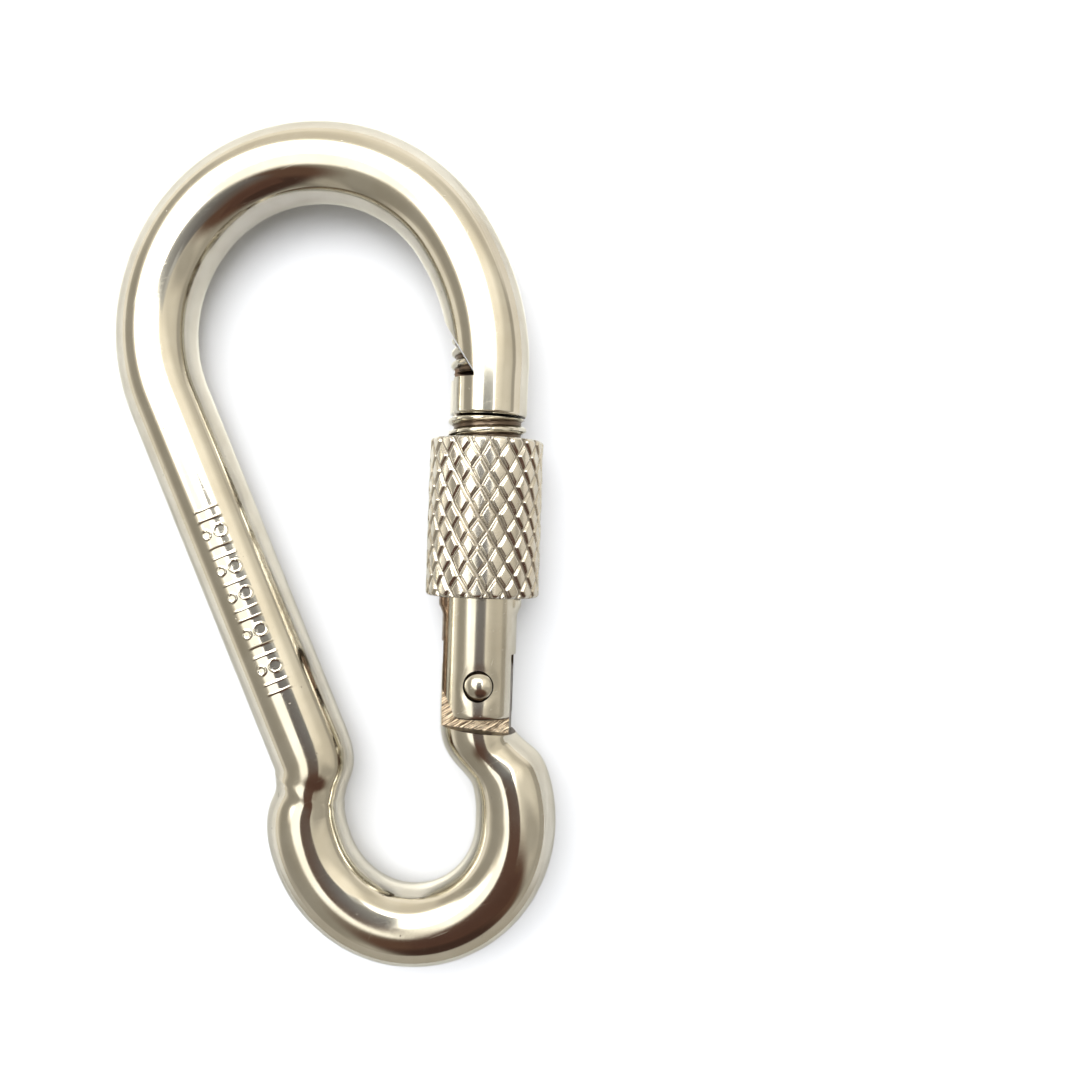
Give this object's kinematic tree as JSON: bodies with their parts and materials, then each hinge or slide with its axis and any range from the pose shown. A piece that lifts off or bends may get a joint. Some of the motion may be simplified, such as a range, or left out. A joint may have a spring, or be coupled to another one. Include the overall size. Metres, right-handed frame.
{
  "type": "screw-lock snap hook",
  "caption": "Pear-shaped carabiner bent from round steel bar, with a sprung hinged gate locked by a knurled screw sleeve.",
  "frame": {"origin": "centre of the bounding box, on the ring's middle plane", "axes": "+Y along the gate's axis from the hinge to the nose, +X from the spine to the gate, +Z square to the ring, out of the marked face"},
  "size_m": [0.046, 0.0841, 0.0112],
  "materials": {
    "polished_steel": "polished stainless steel with fine rubbing marks",
    "turned_steel": "turned and polished stainless steel, machining marks in the thread and on the tongue",
    "knurled_steel": "diamond-knurled stainless steel, bright on the points",
    "spring_steel": "drawn spring wire"
  },
  "bodies": {
    "body": {"hook_body": "polished_steel", "hinge_rivet": "polished_steel"},
    "gate_arm": {"gate": "turned_steel", "return_spring": "spring_steel"},
    "sleeve": {"lock_sleeve": "knurled_steel"},
    "plunger": {"spring_plunger": "spring_steel"}
  },
  "joints": [
    {"name": "gate_hinge", "type": "hinge", "parent": "body", "child": "gate_arm", "pos_m": [0.01518, -0.01345, 0], "axis": [0, 0, 1], "range_deg": [0, 34], "stiffness_Nm_per_rad": 0.12, "springref_deg": -34.38},
    {"name": "sleeve_travel", "type": "slide", "parent": "gate_arm", "child": "sleeve", "axis": [0, 1, 0], "range_m": [0, 0.0075]},
    {"name": "plunger_slide", "type": "slide", "parent": "gate_arm", "child": "plunger", "axis": [0, 1, 0], "range_m": [0, 0.00066], "deforming": ["return_spring"]}
  ],
  "couplings": [
    {"joint": "plunger_slide", "follows": "gate_hinge", "m_per_rad": 0.0011}
  ]
}
